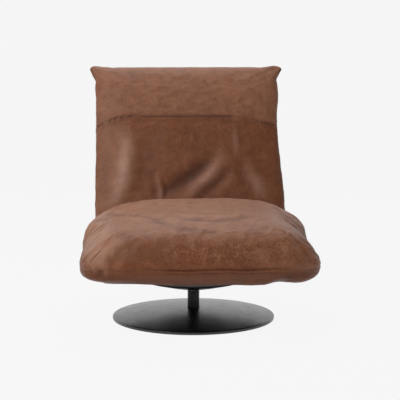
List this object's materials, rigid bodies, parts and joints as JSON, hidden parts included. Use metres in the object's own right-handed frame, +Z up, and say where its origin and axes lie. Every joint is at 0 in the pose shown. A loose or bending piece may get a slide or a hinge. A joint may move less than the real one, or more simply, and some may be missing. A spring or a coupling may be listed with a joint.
{
  "type": "swivel rocker chair",
  "caption": "Low armless lounge chair in brown leather that swivels on a round domed base and rocks on a sprung pivot hidden in a shallow pan under the seat.",
  "frame": {"origin": "on the floor, at the swivel axis, in the middle of the round base", "axes": "+Z up along the swivel axis; the front of the seat faces -Y; +X to the right of someone who looks at the front"},
  "size_m": [0.8216, 0.9316, 0.9355],
  "materials": {
    "leather": "waxed, mottled, satin",
    "black_metal": "satin black powder coat",
    "bare_steel": "zinc plated",
    "nylon": "moulded",
    "rubber": "matte",
    "webbing": "woven elastic strap",
    "cushion_foam": "open-cell foam",
    "black_cloth": "thin non-woven cloth"
  },
  "bodies": {
    "base": {"floor_pad": "rubber", "base_plate": "bare_steel", "base_cover": "black_metal", "column": "black_metal", "flange_bolt_1": "bare_steel", "flange_bolt_2": "bare_steel", "flange_bolt_3": "bare_steel", "flange_bolt_4": "bare_steel", "upper_bush": "nylon", "lower_bush": "nylon"},
    "swivel": {"thrust_washer": "bare_steel", "spindle": "bare_steel", "spindle_clip": "bare_steel", "rocker_bracket": "black_metal", "pivot_pin": "bare_steel", "pin_clip": "bare_steel", "stop_front": "rubber", "stop_rear": "rubber", "spring_front_left": "bare_steel", "spring_front_right": "bare_steel", "spring_rear_left": "bare_steel", "spring_rear_right": "bare_steel"},
    "seat": {"seat_plate": "black_metal", "pivot_bush_left": "nylon", "pivot_bush_right": "nylon", "plate_bolt_1": "bare_steel", "plate_bolt_2": "bare_steel", "plate_bolt_3": "bare_steel", "plate_bolt_4": "bare_steel", "mechanism_pan": "black_metal", "pan_screw_1": "bare_steel", "pan_screw_2": "bare_steel", "pan_screw_3": "bare_steel", "pan_screw_4": "bare_steel", "side_tube_left": "black_metal", "side_tube_right": "black_metal", "front_cross_tube": "black_metal", "lumbar_cross_tube": "black_metal", "top_cross_tube": "black_metal", "seat_rail_front": "black_metal", "seat_rail_rear": "black_metal", "seat_strap_1": "webbing", "seat_strap_2": "webbing", "seat_strap_3": "webbing", "seat_strap_4": "webbing", "seat_strap_5": "webbing", "back_strap_1": "webbing", "back_strap_2": "webbing", "back_strap_3": "webbing", "back_strap_4": "webbing", "seat_foam": "cushion_foam", "seat_cover": "leather", "back_foam": "cushion_foam", "back_cover": "leather", "dust_cover": "black_cloth"}
  },
  "joints": [
    {"name": "swivel_turn", "type": "hinge", "parent": "base", "child": "swivel", "pos_m": [0, 0, 0.105], "axis": [0, 0, 1], "continuous": true},
    {"name": "rock", "type": "hinge", "parent": "swivel", "child": "seat", "pos_m": [0, 0, 0.152], "axis": [-1, 0, 0], "range_deg": [-4, 10], "stiffness_Nm_per_rad": 1250, "deforming": ["spring_front_left", "spring_front_right", "spring_rear_left", "spring_rear_right"]}
  ]
}
